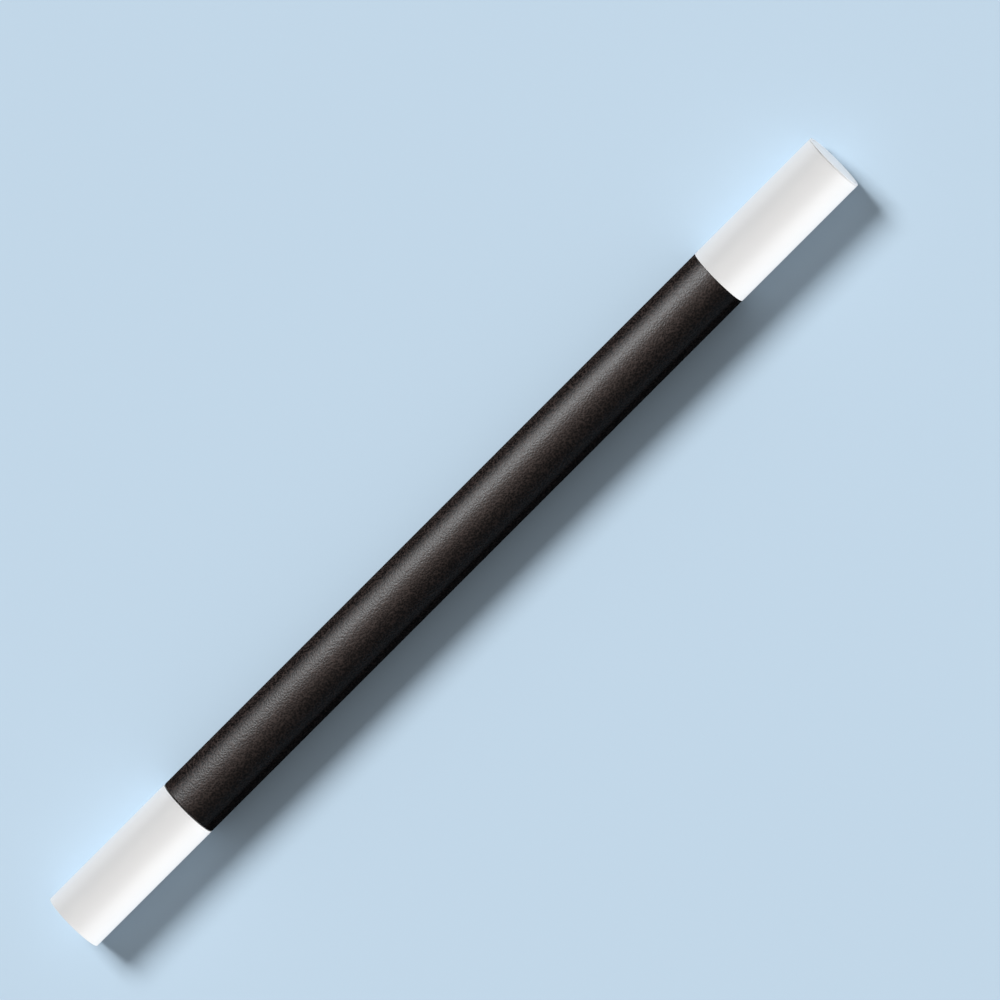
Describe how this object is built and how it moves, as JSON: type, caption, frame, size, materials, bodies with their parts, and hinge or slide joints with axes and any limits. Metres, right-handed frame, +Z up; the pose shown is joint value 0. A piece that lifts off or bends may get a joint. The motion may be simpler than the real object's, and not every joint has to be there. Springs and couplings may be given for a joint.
{
  "type": "confetti wand",
  "caption": "Straight stage wand, black tube with white tips, that shoots confetti: the rear tip cocks a spring-driven piston, which blows out the muzzle plug.",
  "frame": {"origin": "centre of the wand's length, below its axis, on the flat strip that it lies on", "axes": "+X along the wand from the cocking knob to the muzzle, +Y to the left of someone who looks along +X, +Z up"},
  "size_m": [0.356, 0.0218, 0.0219],
  "materials": {
    "black_sleeve": "satin black with a fine leather-like grain",
    "white_tip": "glossy white",
    "tube_plastic": "natural white moulding",
    "bush_plastic": "black moulding",
    "zinc_steel": "bright zinc plate",
    "spring_steel": "drawn spring wire",
    "rod_aluminium": "drawn aluminium bar",
    "black_rubber": "matt rubber",
    "grey_foam": "closed-cell foam",
    "felt": "pressed wool felt"
  },
  "bodies": {
    "barrel": {"barrel_tube": "tube_plastic", "body_sleeve": "black_sleeve", "front_tip": "white_tip", "guide_bush": "bush_plastic", "guide_dowel_left": "zinc_steel", "guide_dowel_right": "zinc_steel", "lock_bush": "bush_plastic", "bumper_ring": "black_rubber", "spring_washer_rear": "zinc_steel", "main_spring": "spring_steel"},
    "piston_head": {"spring_washer_front": "zinc_steel", "piston": "tube_plastic", "piston_seal": "felt", "piston_pad": "grey_foam"},
    "plunger": {"plunger_rod": "rod_aluminium", "lock_pin": "zinc_steel", "piston_washer": "zinc_steel", "piston_screw": "zinc_steel", "rear_tip": "white_tip", "knob_washer": "zinc_steel", "knob_screw": "zinc_steel", "rear_cap": "white_tip"},
    "plug": {"muzzle_plug": "white_tip", "plug_ring": "black_rubber"}
  },
  "joints": [
    {"name": "plunger_slide", "type": "slide", "parent": "barrel", "child": "piston_head", "axis": [-1, 0, 0], "range_m": [0, 0.0632], "stiffness_N_per_m": 234, "springref_m": -0.03, "deforming": ["main_spring"]},
    {"name": "knob_twist", "type": "hinge", "parent": "piston_head", "child": "plunger", "pos_m": [0, 0, 0.01095], "axis": [1, 0, 0], "range_deg": [0, 90]},
    {"name": "plug_pull", "type": "slide", "parent": "barrel", "child": "plug", "axis": [1, 0, 0], "range_m": [0, 0.03]}
  ]
}
